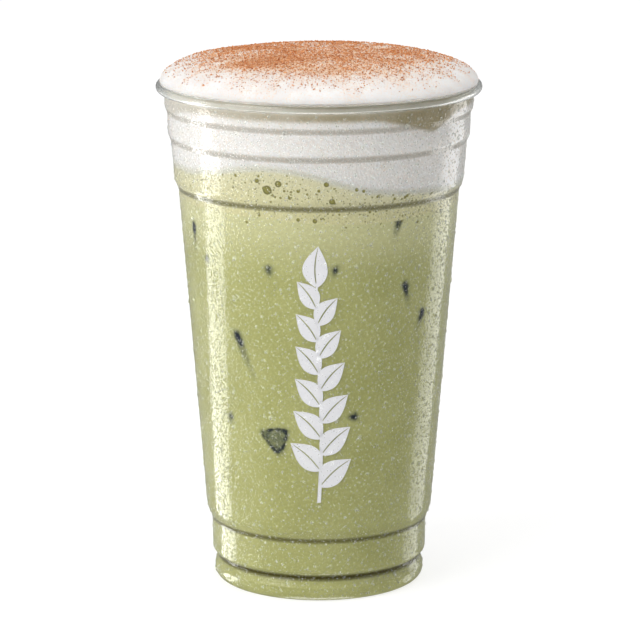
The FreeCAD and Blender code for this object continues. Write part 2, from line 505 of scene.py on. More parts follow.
froth_bottom, foam_bottom = level_at_wall(froth_level), level_at_wall(foam_level)
print(f"froth from {froth_bottom.min():.1f} to {foam_bottom.max():.1f} mm up the wall")
INNER_SHARES = np.array([0.04, 0.15, 0.3, 0.45, 0.6, 0.72, 0.82, 0.9, 0.96])

# %% [markdown]
# Two things darken and lighten everything that lies against the wet wall, whatever it is made of, and
# both are painted into its colour. In the tight folds of the plastic, below each band, little light gets in:
# that is painted shade. And every droplet of mist on the outside works as a lens: it gathers the light into
# a bright dot on what lies behind it, and leaves a darker ring round the dot: painted light with a ring of
# painted shade. A path tracer can't find such light in a few samples, so both go into the colour of the
# layer, at their true size.

# %% Painted shade in the folds and painted light under the mist
FOLD_RISE = 0.9
FOLD_HALF = 1.15
folds = [
    # height of the darkest line of painted shade, half its width, how dark
    (7.35, 1.4, 1.0),
    (19.3, 1.1, 0.8),
]
fold_height = wall_corners()[:, 1]
for step_foot, darkness in zip(fold_height[len(base_corners)::2], (0.75, 0.5, 0.45)):
    folds.append((float(step_foot) + FOLD_RISE, FOLD_HALF, darkness))
print("folds at", [round(fold[0], 1) for fold in folds], "mm")


def paint_fold_shade_and_mist_light(finish, colour, dark, bright, gain, where=1.0):
    """Paint shade into a colour along the folds, and painted light: bright dots with darker rings, as under
    mist.
    """
    height = finish.node("ShaderNodeSeparateXYZ", None, {0: finish.place()}, "Z") / MM
    # Painted shade along each fold of the plastic.
    for centre, half_width, darkness in folds:
        gap = (height - centre) / half_width
        shade = (1.0 - gap * gap).at_least(0.0) * darkness * where
        colour = finish.blend(shade, colour, dark)
    # Under each droplet of mist: a darker ring of painted shade round a bright dot of painted light.
    for size, fewest in [(0.62, 0.35), (1.0, 0.6)]:
        near = finish.cells(size)
        ring = near.rise(0.35, 0.6) * 0.06 * where
        colour = finish.blend(ring, colour, dark)
        picked = finish.cell_number(size).rise(fewest, fewest + 0.4)
        dots = (1.0 - near.rise(0.12, 0.4)) * picked * gain * where
        colour = finish.blend(dots, colour, bright)
    return colour


# %% [markdown]
# Ice floats sunk in the drink, and only where a corner or an edge leans on the plastic does it show, as a
# dark sliver with a soft halo where the drink over it is thin. Each piece is a superquadric: a ball whose
# exponent is raised until it is a cube with worn edges. It is turned so that the wanted edge points
# outwards, and then pushed outwards until it reaches past the wall by its own amount. What would stand out
# is pressed flat against the plastic, as ice melts flat there: a corner pressed far makes a three-sided
# window, and an edge a long sliver.

# %% Ice
ICE_ROUNDNESS = 9.0
PRESSED_INTO_WALL = 0.1
HALO = 0.42
ice_pieces = [
    # azimuth, height, half size, turn of its edge in the wall, lean into the drink, reach past the wall
    (-63.6, 112.0, 8.0, 3.0, 12.0, 0.1),
    (33.0, 117.0, 9.0, 10.0, 14.0, 0.1),
    (-54.0, 104.0, 6.0, -30.0, 30.0, -0.1),
    (-20.5, 104.0, 8.5, -12.0, 24.0, -0.15),
    (6.5, 104.5, 7.5, 5.0, 22.0, -0.15),
    (40.7, 96.5, 8.0, -14.0, 12.0, 0.05),
    (48.6, 87.0, 8.5, 20.0, 14.0, 0.0),
    (-35.0, 81.5, 9.5, -22.0, 8.0, 0.1),
    (-2.6, 78.0, 8.0, -35.0, 30.0, -0.1),
    (-45.0, 56.5, 7.0, -12.0, 26.0, -0.1),
    (17.6, 59.0, 8.5, -45.0, 28.0, 0.0),
    (-20.5, 51.5, 10.0, -10.0, 37.0, 2.2),
    (118.0, 108.0, 9.0, 15.0, 16.0, 0.3),
    (171.0, 99.0, 8.5, -25.0, 12.0, 0.1),
    (-128.0, 92.0, 9.0, 30.0, 20.0, 0.2),
    (146.0, 70.0, 8.0, -10.0, 10.0, 0.1),
    (-158.0, 62.0, 9.0, 42.0, 34.0, 0.9),
    (95.0, 60.0, 8.0, 20.0, 24.0, 0.0),
]


def turned_about(axis, degrees):
    """Rotation matrix about X, Y or Z (0, 1 or 2)."""
    angle = math.radians(degrees)
    matrix = np.eye(3)
    first, second = (axis + 1) % 3, (axis + 2) % 3
    matrix[first, first] = matrix[second, second] = math.cos(angle)
    matrix[second, first] = math.sin(angle)
    matrix[first, second] = -math.sin(angle)
    return matrix


def ice_shape(rows=22, around=40):
    """Superquadric of size 1: a unit sphere's direction d, at distance 1 / (|x|^p + |y|^p + |z|^p)^(1/p)."""
    up = np.linspace(-np.pi / 2, np.pi / 2, rows + 2)[1:-1, None]
    turn = np.linspace(0.0, 2.0 * np.pi, around, endpoint=False)[None, :]
    parts = np.broadcast_arrays(np.cos(up) * np.cos(turn), np.cos(up) * np.sin(turn), np.sin(up))
    way = np.stack(parts, axis=-1)
    size = (np.abs(way) ** ICE_ROUNDNESS).sum(axis=-1, keepdims=True) ** (1.0 / ICE_ROUNDNESS)
    return way / size


def placed_ice(azimuth, height, half, turn, lean, reach):
    """Turn a cube so that an edge faces the wall, and find the centre that lets it reach past the wall."""
    turning = turned_about(2, azimuth) @ turned_about(1, turn) @ turned_about(0, lean) @ turned_about(2, 45.0)
    points = ice_shape().reshape(-1, 3) * half @ turning.T
    outward = spun(1.0, 0.0, np.radians(azimuth))
    centre = outward * (side_radius(height) - half) + (0.0, 0.0, height)
    for _ in range(4):
        moved = points + centre
        proud = np.hypot(moved[:, 0], moved[:, 1]) - side_radius(moved[:, 2])
        centre = centre - outward * (proud.max() - reach)
        centre = centre + (0.0, 0.0, 0.8 * (height - moved[np.argmax(proud), 2]))
    return turning, centre


def ice_cover(points, pieces):
    """How plainly ice shows: exp(-depth / halo) where it lies deeper, 1 at a window's edge, 0.5 inside it."""
    cover = np.zeros(len(points))
    for (_, _, half, *_), (turning, centre) in pieces:
        inside = np.abs((points - centre) @ turning) / half
        depth = ((inside ** ICE_ROUNDNESS).sum(axis=1) ** (1.0 / ICE_ROUNDNESS) - 1.0) * half
        window = 0.5 + 0.5 * np.exp(np.minimum(depth, 0.0) / HALO)
        cover = np.maximum(cover, np.where(depth > 0.0, np.exp(-np.maximum(depth, 0.0) / HALO), window))
    return cover


def pressed_flat(points):
    """Points of the ice that would stand out of the drink, moved back to the wall."""
    radius = np.hypot(points[..., 0], points[..., 1])
    limit = side_radius(points[..., 2]) + PRESSED_INTO_WALL
    share = np.minimum(1.0, limit / np.maximum(radius, 1.0))
    return points * np.stack([share, share, np.ones_like(share)], axis=-1)


def clear_ice():
    """Ice: clear, a little rough where it melts, clouded inside by small bubbles."""
    finish = Finish("clear_ice")
    cloud = finish.noise(5.0).rise(0.45, 0.75)
    colour = finish.blend(cloud, srgb(226, 236, 236), srgb(246, 248, 247))
    ice = finish.surface(Base_Color=colour, Roughness=0.12, IOR=1.31, Transmission_Weight=1.0)
    return finish.done(finish.clear_to_lamps(ice))


def make_ice(placed):
    """All the ice as one piece: each cube is the same grid of rings, turned and moved."""
    shape = ice_shape()
    vertices, faces = [], []
    for (_, _, half, *_), (turning, centre) in placed:
        points = pressed_flat((shape * half) @ turning.T + centre)
        poles = pressed_flat(np.array([[0.0, 0.0, -half], [0.0, 0.0, half]]) @ turning.T + centre)
        body, body_faces = body_of_rings(points, *poles)
        offset = sum(len(part) for part in vertices)
        faces += [[corner + offset for corner in face] for face in body_faces]
        vertices.append(body)
    add_piece("ice", np.vstack(vertices), faces, clear_ice())


placed = [(entry, placed_ice(*entry)) for entry in ice_pieces]
make_ice(placed)

# %% [markdown]
# The drink itself is opaque: milk scatters the light within a millimetre, so a clear shader would be wrong,
# and a matt green one is right. What makes it real is its unevenness: milkier near the froth, soft clouds
# where milk and matcha have not quite mixed, and dark windows over the ice. The mesh carries the first and
# the last as values by vertex, and noise adds the clouds.

# %% The drink
JOIN_HEIGHT = 30.0
DRINK_ROWS = 170
MILKY_DEPTH = 20.0


def matcha():
    """Milky green, paler towards the froth, clouded, and dark blue-green where ice lies against the wall."""
    finish = Finish("matcha")
    milky = finish.value("milky")
    clouds = finish.noise(14.0, detail=4.0).rise(0.35, 0.68)
    deep = finish.blend(clouds, srgb(190, 190, 126), srgb(198, 198, 136))
    colour = finish.blend(milky, deep, srgb(222, 220, 174))
    # Painted shade in the folds and painted light under the mist, over the drink's colour.
    colour = paint_fold_shade_and_mist_light(finish, colour, srgb(84, 78, 16), srgb(250, 248, 206), 0.22)
    broken = finish.noise(1.3, detail=3.0).rise(0.25, 0.6) * 0.45 + 0.55
    window = finish.value("ice") * broken
    colour = finish.blend(window.rise(0.06, 0.8), colour, srgb(96, 101, 78))
    colour = finish.blend(window.rise(0.5, 0.95), colour, srgb(34, 42, 56))
    drink = finish.surface(Base_Color=colour, Roughness=0.5, Specular_IOR_Level=0.1)
    return finish.done(drink)


def make_drink():
    """Base rings below the straight side, rings up the wall to the froth, then the hidden top."""
    above_axis = side[1:]
    base = above_axis[:np.argmax(above_axis[:, 1] > JOIN_HEIGHT)]
    lower = spun(base[:, :1], base[:, 1:], columns[None, :])
    upper = side_rings(JOIN_HEIGHT, froth_bottom, DRINK_ROWS)
    top = level_rings(froth_level, INNER_SHARES[::-1])
    rings = np.concatenate([lower, upper, top])
    vertices, faces = body_of_rings(rings, (0.0, 0.0, side[0, 1]), level_pole(froth_level))
    below_froth = at_azimuth(np.arctan2(vertices[:, 0], -vertices[:, 1]), froth_bottom) - vertices[:, 2]
    values = {"milky": 1.0 - smoothstep(0.0, MILKY_DEPTH, below_froth), "ice": ice_cover(vertices, placed)}
    add_piece("green_drink", vertices, faces, matcha(), ["matcha_drink"], values)


make_drink()

# %% [markdown]
# The froth is the same drink beaten full of air. Against the wall its bubbles show as small dark rings and
# dots, because a bubble that touches the plastic lets the eye look into it. Thousands of the finest are a
# pattern of cells in the finish. Those large enough to see singly are modelled next.

# %% The froth
FROTH_ROWS = 60
pin_bubbles = [
    # spacing of the cells, largest radius in cells, how dark
    (0.75, 0.3, 0.75),
    (1.5, 0.24, 0.8),
]


def froth():
    """Pale green, whiter towards the foam, dotted with dark pin bubbles."""
    finish = Finish("froth")
    soft = finish.noise(3.5, detail=4.0)
    height = finish.value("rise") + (soft - 0.5) * 0.5
    colour = finish.blend(height.rise(0.0, 1.0), srgb(230, 225, 181), srgb(234, 229, 197))
    colour = finish.blend(finish.value("near_foam") * 0.9, colour, srgb(232, 230, 222))
    for size, reach, depth in pin_bubbles:
        picked = finish.cell_number(size).rise(0.35, 0.75)
        dots = (1.0 - finish.cells(size).rise(reach * 0.5, reach)) * picked * depth
        colour = finish.blend(dots, colour, srgb(138, 132, 70))
    # Painted shade in the folds and painted light under the mist, over the froth's colour.
    colour = paint_fold_shade_and_mist_light(finish, colour, srgb(84, 78, 16), srgb(252, 250, 225), 0.3)
    bumps = finish.relief(finish.noise(0.9, detail=2.0), 0.08)
    skin = finish.surface(Base_Color=colour, Roughness=0.55, Specular_IOR_Level=0.1, Normal=bumps)
    return finish.done(skin)


def make_froth():
    """Hidden underside, rings up the wall between the two levels, hidden top."""
    bottom = level_rings(froth_level, INNER_SHARES)
    wall_rings = side_rings(froth_bottom, foam_bottom, FROTH_ROWS)
    top = level_rings(foam_level, INNER_SHARES[::-1])
    rings = np.concatenate([bottom, wall_rings, top])
    vertices, faces = body_of_rings(rings, level_pole(froth_level), level_pole(foam_level))
    share = np.concatenate([np.zeros(len(bottom)), np.linspace(0.0, 1.0, FROTH_ROWS), np.ones(len(top))])
    rise = np.concatenate([np.repeat(share, CONTENT_COLUMNS), [0.0, 1.0]])
    thickness = np.tile(foam_bottom - froth_bottom, len(share))
    below_foam = (1.0 - rise[:-2]) * thickness
    near_foam = np.concatenate([1.0 - smoothstep(0.0, 1.6, below_foam), [0.0, 1.0]])
    values = {"rise": rise, "near_foam": near_foam}
    add_piece("froth", vertices, faces, froth(), ["matcha_froth"], values)


make_froth()


# %% [markdown]
# A bubble against the plastic is a shallow lens: the hollow looks olive, with a darker ring where its skin
# turns away, painted into its colour as shade. Each is a low dome that stands a few hundredths of a
# millimetre into the wall. The largest have their own places, and the rest are scattered, small ones far
# oftener than large.

# %% Bubbles in the froth
large_bubbles = [
    # azimuth, height, diameter
    (-20.1, 127.6, 2.8), (-15.6, 129.6, 2.0), (-24.3, 130.2, 1.5), (2.8, 129.7, 1.5), (5.0, 124.6, 1.75),
    (14.5, 127.9, 1.1), (17.3, 127.4, 1.0), (0.0, 127.8, 0.9), (-7.9, 127.7, 1.1), (-13.3, 127.6, 0.8),
    (-11.3, 125.5, 0.9), (-17.0, 125.7, 0.75), (-33.6, 131.2, 0.9), (-34.9, 127.6, 0.85), (-8.3, 118.9, 1.05),
    (-1.6, 118.6, 1.4), (-24.5, 119.7, 0.9), (20.6, 120.9, 0.9), (96.0, 123.0, 1.9), (104.0, 121.4, 1.2),
    (141.0, 125.0, 2.3), (150.0, 122.5, 1.4), (-170.0, 128.0, 1.7), (-122.0, 126.5, 2.1), (-96.0, 127.5, 1.3),
]
BUBBLE_COUNT = 1400
BUBBLE_SIDES = 12
BUBBLE_SUNK = 0.05
SMALLEST_BUBBLE = 0.09
BUBBLE_SPREAD = 0.5
LENS_RINGS = np.array([1.0, 0.86, 0.55])
wall_steps = np.linalg.norm(np.diff(wall_outside, axis=0), axis=1)
wall_length = np.concatenate([[0.0], np.cumsum(wall_steps)])
print(f"the wall's section is {wall_length[-1]:.0f} mm long")


def wall_frame(distance, inset):
    """Place and outward direction at these distances along the wall's section, moved in by inset."""
    points = wall_outside + wall_inward * inset
    place = np.stack([np.interp(distance, wall_length, points[:, axis]) for axis in (0, 1)], axis=1)
    outward = np.stack([-np.interp(distance, wall_length, wall_inward[:, axis]) for axis in (0, 1)], axis=1)
    return place, outward / np.linalg.norm(outward, axis=1, keepdims=True)


def distance_at(height):
    """Distance along the wall's section at which the side above the foot reaches a height."""
    length, reached = above_foot(np.column_stack([wall_length, wall_outside[:, 1]])).T
    return np.interp(height, reached, length)


def repeated_faces(faces, copies, stride):
    """One body's faces, repeated for every copy, each with its own stretch of vertices."""
    made = []
    for size in (3, 4):
        some = np.array([face for face in faces if len(face) == size])
        if len(some):
            shifts = stride * np.arange(copies)[:, None, None]
            made += (some[None] + shifts).reshape(-1, size).tolist()
    return made


def domes_on_wall(azimuth, distance, radius, height, rings, around, inset, sunk):
    """Many low domes on the wall: rings at share s of the radius stand height * (1 - s^2) proud.

    Each has a point on top, a ring sunk below the surface, and a point that closes it underneath. The third
    result is every vertex of one dome as shares of its radius, across and up.
    """
    place, outward = wall_frame(distance, inset)
    centre = spun(place[:, 0], place[:, 1], azimuth)
    across = spun(1.0, 0.0, azimuth + np.pi / 2)
    normal = spun(outward[:, 0], outward[:, 1], azimuth)
    upward = np.cross(normal, across)
    shares = np.concatenate([[1.0], rings])
    proud = height[:, None] * (1.0 - shares ** 2)
    proud[:, 0] = -sunk
    turn = np.linspace(0.0, 2.0 * np.pi, around, endpoint=False)
    flat = (across[:, None] * np.cos(turn)[None, :, None] + upward[:, None] * np.sin(turn)[None, :, None])
    rim = flat[:, None] * (radius[:, None] * shares[None, :])[:, :, None, None]
    rim = rim + centre[:, None, None] + normal[:, None, None] * proud[:, :, None, None]
    low, high = centre - normal * sunk, centre + normal * height[:, None]
    vertices = np.concatenate([rim.reshape(len(radius), -1, 3), low[:, None], high[:, None]], axis=1)
    local = shares[:, None, None] * np.stack([np.cos(turn), np.sin(turn)], axis=-1)
    local = np.vstack([local.reshape(-1, 2), np.zeros((2, 2))])
    faces = repeated_faces(body_faces(len(shares), around), len(radius), len(local))
    return vertices.reshape(-1, 3), faces, local


def bubble_skin():
    """Olive hollow, with painted shade towards its edge."""
    finish = Finish("bubble_skin")
    edge = finish.value("edge")
    colour = finish.blend(edge.rise(0.35, 0.95), srgb(150, 145, 66), srgb(112, 107, 42))
    return finish.done(finish.surface(Base_Color=colour, Roughness=0.3))


def make_bubbles():
    """The large bubbles as listed, and the small ones at random through the froth and just under it."""
    chance = np.random.default_rng(41)
    azimuth = chance.uniform(-np.pi, np.pi, BUBBLE_COUNT)
    low, high = at_azimuth(azimuth, froth_bottom) - 2.5, at_azimuth(azimuth, foam_bottom) - 0.5
    height = low + (high - low) * chance.beta(1.6, 1.2, BUBBLE_COUNT)
    radius = SMALLEST_BUBBLE + np.minimum(chance.exponential(0.085, BUBBLE_COUNT), BUBBLE_SPREAD)
    large = np.array(large_bubbles)
    azimuth = np.concatenate([azimuth, np.radians(large[:, 0])])
    height = np.concatenate([height, large[:, 1]])
    radius = np.concatenate([radius, 0.5 * large[:, 2]])
    stand = np.minimum(0.1 * radius + 0.02, 0.08)
    vertices, faces, local = domes_on_wall(azimuth, distance_at(height), radius, stand, LENS_RINGS,
                                           BUBBLE_SIDES, wall - REACH_INTO_WALL, BUBBLE_SUNK)
    edge = np.tile(np.linalg.norm(local, axis=1), len(radius))
    add_piece("froth_bubbles", vertices, faces, bubble_skin(), values={"edge": edge})


make_bubbles()

# %% [markdown]
# The milk foam fills the top of the cup, laps over the rolled lip and domes above it. It is thick and
# smooth, so its crown is one soft curve, flatter than an ellipse, with shallow lumps. Light goes a little
# way into foam and comes out again, which takes the hardness off its shadows: that is what subsurface
# scattering does.

# %% The foam's crown
DOME_INSET = 1.2
DOME_SEAT = 0.35
DOME_FULLNESS = 3.0
DOME_LAP = 95.0
FOAM_ROWS = 110
CROWN_ROWS = 80
dome_radius = rim_radius - DOME_INSET
dome_foot = cup_height + DOME_SEAT
dome_rise = crown_top - dome_foot
# Olive painted shade on the foam under the lip: its lower edge, a paler band, and the azimuth where it is
# darkest.
LIP_SHADE_LOW = 147.9
LIP_SHADE_DARKEST = 45.0
LIP_SHADE_LIGHTENS = (149.6, 151.2)
LIP_SHADE_DARKENS = (151.8, 152.4)
lip_shade_dips = [
    # azimuth, how far the lower edge drops there, half the width in degrees
    (47.0, 5.0, 9.0), (33.0, 1.6, 8.0), (-75.0, 3.0, 12.0), (150.0, 4.0, 14.0), (-140.0, 2.0, 20.0),
]
DUST_THICK_TO = 24.0
DUST_ENDS = 53.0
HEAP_PLACE = (-16.0, -17.0)
HEAP_REACH = (11.0, 8.0)


def crown_height(x, y):
    """(radius / R)^fullness + (rise / H)^2 = 1, with shallow lumps that fade towards the edge."""
    share = np.sqrt(np.clip(1.0 - (np.hypot(x, y) / dome_radius) ** DOME_FULLNESS, 0.0, None))
    flat = on_plane(x, y)
    lumps = 0.34 * uneven(flat, 19.0, 21) + 0.13 * uneven(flat, 6.5, 22) + 0.05 * uneven(flat, 2.4, 23)
    return dome_foot + (dome_rise - 0.3 + lumps) * share


def cinnamon_cover(x, y):
    """Share of the crown that cinnamon hides: most of the middle, then streaks that run out to the edge."""
    radius, angle = np.hypot(x, y), np.arctan2(x, -y)
    streak = uneven(np.stack([26.0 * np.sin(angle), 26.0 * np.cos(angle), 0.16 * radius], axis=-1), 1.5, 31)
    blotch = uneven(on_plane(x, y), 8.0, 32)
    cover = 0.92 * (1.0 - smoothstep(DUST_THICK_TO, DUST_ENDS, radius + 7.0 * streak + 3.0 * blotch))
    heap_x, heap_y = (x - HEAP_PLACE[0]) / HEAP_REACH[0], (y - HEAP_PLACE[1]) / HEAP_REACH[1]
    heap = np.exp(-(heap_x ** 2 + heap_y ** 2))
    return np.clip(cover * (0.76 + 0.3 * blotch + 0.25 * streak) + 0.6 * heap, 0.0, 1.0)


def lip_shade_cover(x, y, z):
    """Painted olive shade on the foam under the lip, from its own lower edge up to the crown's foot."""
    degrees_round = np.degrees(np.arctan2(x, -y))
    lower_edge = LIP_SHADE_LOW + 0.25 * uneven(np.stack([x, y, z], axis=-1), 6.0, 27)
    for azimuth, drop, spread in lip_shade_dips:
        away = (degrees_round - azimuth + 180.0) % 360.0 - 180.0
        lower_edge = lower_edge - drop * np.exp(-(away / spread) ** 2)
    paler_band = 1.0 - 0.45 * smoothstep(*LIP_SHADE_LIGHTENS, z) * (1.0 - smoothstep(*LIP_SHADE_DARKENS, z))
    strength = np.clip(0.55 + 0.45 * np.cos(np.radians(degrees_round - LIP_SHADE_DARKEST)), 0.0, 1.0)
    upper_fade = 1.0 - smoothstep(dome_foot - 1.6, dome_foot - 0.1, z)
    return smoothstep(lower_edge - 0.6, lower_edge + 1.2, z) * paler_band * strength * upper_fade


def milk_foam():
    """White, faintly warm, with pin bubbles and painted shade and light; where it is dusted, cinnamon powder
    shows between the grains.
    """
    finish = Finish("milk_foam")
    soft = finish.noise(6.0, detail=4.0)
    white = finish.blend(soft.rise(0.35, 0.7), srgb(240, 237, 235), srgb(250, 248, 246))
    in_cup = finish.value("in_cup")
    colour = finish.blend(in_cup * 0.85, white, srgb(252, 249, 249))
    colour = finish.blend(finish.value("near_froth") * 0.8, colour, srgb(236, 234, 218))
    # Painted shade in the folds and painted light under the mist, over the foam inside the cup.
    colour = paint_fold_shade_and_mist_light(finish, colour, srgb(138, 130, 106), srgb(255, 255, 255), 0.6, in_cup)
    # The value film is olive painted shade under the lip, broken up a little by noise.
    lip_shade_mix = finish.value("film") * (finish.noise(9.0, detail=2.0).rise(0.2, 0.6) * 0.25 + 0.7)
    colour = finish.blend(lip_shade_mix, colour, srgb(166, 155, 120))
    dusted = finish.value("dusted")
    powder = (finish.noise(0.5, detail=3.0, roughness=0.65) - 0.5) * 3.0 + dusted * 1.6 - 0.5
    colour = finish.blend(powder.rise(-0.55, 0.9) * 0.9, colour, srgb(246, 204, 162))
    colour = finish.blend(powder.rise(0.65, 1.5) * 0.75, colour, srgb(208, 140, 88))
    pores = finish.noise(0.8, detail=3.0) + (1.0 - finish.cells(1.6).rise(0.05, 0.2)) * -0.5
    bumps = finish.relief(pores, 0.1)
    foam = finish.surface(Base_Color=colour, Roughness=0.65, Specular_IOR_Level=0.25, Subsurface_Weight=0.6,
                          Subsurface_Scale=4.0 * MM, Subsurface_Radius=(1.0, 0.9, 0.8), Normal=bumps)
    return finish.done(foam)


def make_foam():
    """Hidden underside, rings up the wall, the lap over the lip, and the crown to its top."""
    bottom = level_rings(foam_level, INNER_SHARES)
    neck = curl_centre[1]
    wall_rings = side_rings(foam_bottom, np.full_like(columns, neck), FOAM_ROWS)
    lap = arc(curl_centre, lip_radius - REACH_INTO_WALL, 180.0, DOME_LAP, 9)[1:]
    lap_rings = spun(lap[:, :1], lap[:, 1:], columns[None, :])
    climb = np.linspace(0.0, 0.5 * np.pi, CROWN_ROWS)[:-1]
    out = dome_radius * np.cos(climb) ** (2.0 / DOME_FULLNESS)
    crown = spun(out[:, None], 0.0, columns[None, :])
    crown[..., 2] = crown_height(crown[..., 0], crown[..., 1])
    rings = np.concatenate([bottom, wall_rings, lap_rings, crown])
    middle = float(crown_height(np.zeros(1), np.zeros(1))[0])
    vertices, faces = body_of_rings(rings, level_pole(foam_level), (0.0, 0.0, middle))
    x, y, z = vertices.T
    on_crown = z >= dome_foot - 0.2
    above_froth = z - at_azimuth(np.arctan2(x, -y), foam_bottom)
    values = {
        "dusted": np.where(on_crown, cinnamon_cover(x, y), 0.0),
        "in_cup": 1.0 - smoothstep(150.0, 153.5, z),
        # film: painted shade under the lip
        "film": lip_shade_cover(x, y, z),
        "near_froth": 1.0 - smoothstep(0.0, 1.8, above_froth),
    }
    add_piece("foam", vertices, faces, milk_foam(), ["milk_foam"], values)


make_foam()

# %% [markdown]
# Ground cinnamon is flakes of bark from powder up to half a millimetre. The powder is in the foam's finish,
# and the flakes that the eye can pick out are solid: each is a squashed eight-faced crystal, turned at
# random and half sunk in the foam. Candidates fall evenly over the crown, and each stays with the chance
# that the cover gives, so grains and powder thin out together.

# %% Cinnamon
GRAIN_COUNT = 22000
GRAIN_CANDIDATES = 150000
GRAIN_SIZE = 0.15
GRAIN_LIMITS = (0.07, 0.42)


def cinnamon():
    """Bark brown, each flake its own shade."""
    finish = Finish("cinnamon")
    colour = finish.blend(finish.value("shade"), srgb(178, 100, 50), srgb(240, 176, 122))
    return finish.done(finish.surface(Base_Color=colour, Roughness=0.85))


def random_turns(chance, count):
    """Rotation matrices from random unit quaternions (w, x, y, z)."""
    quaternion = chance.normal(size=(count, 4))
    w, x, y, z = (quaternion / np.linalg.norm(quaternion, axis=1, keepdims=True)).T
    rows = [[1 - 2 * (y * y + z * z), 2 * (x * y - w * z), 2 * (x * z + w * y)],
            [2 * (x * y + w * z), 1 - 2 * (x * x + z * z), 2 * (y * z - w * x)],
            [2 * (x * z - w * y), 2 * (y * z + w * x), 1 - 2 * (x * x + y * y)]]
    return np.array(rows).transpose(2, 0, 1)


def make_cinnamon():
    """Eight-faced flakes, kept where a random number is under the cover at their place."""
    chance = np.random.default_rng(77)
    reach = dome_radius * np.sqrt(chance.uniform(0.0, 0.95, GRAIN_CANDIDATES))
    angle = chance.uniform(-np.pi, np.pi, len(reach))
    x, y = reach * np.sin(angle), -reach * np.cos(angle)
    kept = np.flatnonzero(chance.uniform(0.0, 1.0, len(reach)) < cinnamon_cover(x, y) ** 1.1 + 0.012)
    kept = kept[:GRAIN_COUNT]
    x, y = x[kept], y[kept]
    size = np.clip(chance.lognormal(math.log(GRAIN_SIZE), 0.42, len(x)), *GRAIN_LIMITS)
    stretch = np.stack([1.35 * size, 0.9 * size, 0.45 * size], axis=1)
    corners = np.array([[1, 0, 0], [0, 1, 0], [-1, 0, 0], [0, -1, 0], [0, 0, 1], [0, 0, -1]], dtype=float)
    points = np.einsum("nij,ncj->nci", random_turns(chance, len(x)), corners[None] * stretch[:, None])
    points += np.stack([x, y, crown_height(x, y) + 0.25 * size], axis=1)[:, None]
    faces = [(0, 1, 4), (1, 2, 4), (2, 3, 4), (3, 0, 4), (1, 0, 5), (2, 1, 5), (3, 2, 5), (0, 3, 5)]
    shade = np.repeat(np.clip(chance.normal(0.5, 0.28, len(x)), 0.0, 1.0), len(corners))
    points, faces = points.reshape(-1, 3), repeated_faces(faces, len(x), len(corners))
    add_piece("cinnamon_grains", points, faces, cinnamon(), values={"shade": shade})


make_cinnamon()


# %% [markdown]
# The cup carries a printed ornament up its front: a sprig of tea leaves in white ink. Screen-printed ink is
# a thin opaque film that stands a little proud and follows the wall, so each half leaf is a flat loop
# carried along its vein, worked out in the plane first (across and up, in mm) and then wrapped onto the
# cup.

# %% The printed sprig
INK_STAND = 0.05
INK_SUNK = 0.05
SPRIG_LOW = 32.0
SPRIG_HIGH = 111.0
STEM_HALF_WIDTH = 0.55
STEM_POINTS = 60
STEM_STOPS = 11.0
LEAF_LENGTH = 12.6
LEAF_HALF_WIDTH = 3.7
LEAF_FULLEST = 0.8
LEAF_TILT = 42.0
LEAF_PAIRS = 6
LOWEST_LEAF = 5.0
TIP_LEAF = 12.5
TIP_TILT = 88.0
LEAFLESS = 24.0
VEIN_HALF_GAP = 0.2


def on_wall(across, height, stand):
    """Wrap a flat pattern onto the cup: the angle is the distance across over the wall's radius there."""
    outside = above_foot(wall_outside)
    radius = np.interp(height, outside[:, 1], outside[:, 0])
    return spun(radius + stand, height, across / radius)


def film_body(left, right):
    """A closed film between two lines of (across, height) points, from in the wall to proud of it."""
    share = np.array([0.0, 0.0, 0.33, 0.67, 1.0, 1.0])
    stand = np.array([-INK_SUNK, INK_STAND, INK_STAND, INK_STAND, INK_STAND, -INK_SUNK])
    flat = left[:, None] + (right - left)[:, None] * share[None, :, None]
    rings = on_wall(flat[..., 0], flat[..., 1], stand[None, :])
    return body_of_rings(rings, rings[0].mean(axis=0), rings[-1].mean(axis=0))


def stem_centre(height):
    """The stem sways a little, like a slow sine."""
    return 0.7 * np.sin((height - SPRIG_LOW) / 13.0)


def half_leaf(base_height, angle, length, side_sign):
    """From the vein out to half width * sin(pi * s^0.8), s being the share of the way along."""
    along = np.linspace(0.0, 1.0, 26)
    vein = np.stack([length * along, 0.06 * length * np.sin(np.pi * along)], axis=1)
    swelling = np.sin(np.pi * along ** LEAF_FULLEST)
    inner = vein + [0.0, side_sign * VEIN_HALF_GAP] * swelling[:, None] ** 0.5
    bulge = LEAF_HALF_WIDTH * length / LEAF_LENGTH * swelling
    outer = vein + np.stack([np.zeros_like(along), side_sign * np.maximum(bulge, VEIN_HALF_GAP)], axis=1)
    outer[[0, -1]] = inner[[0, -1]] + [0.0, side_sign * 0.02]
    spin = np.array([[math.cos(angle), math.sin(angle)], [-math.sin(angle), math.cos(angle)]])
    foot = [stem_centre(base_height), base_height]
    return inner @ spin + foot, outer @ spin + foot


def white_ink():
    """White ink, slightly uneven in thickness."""
    finish = Finish("white_ink")
    mottled = finish.noise(2.5, detail=3.0).rise(0.3, 0.7)
    colour = finish.blend(mottled, srgb(248, 248, 251), srgb(253, 253, 255))
    return finish.done(finish.surface(Base_Color=colour, Roughness=0.42, Specular_IOR_Level=0.3))


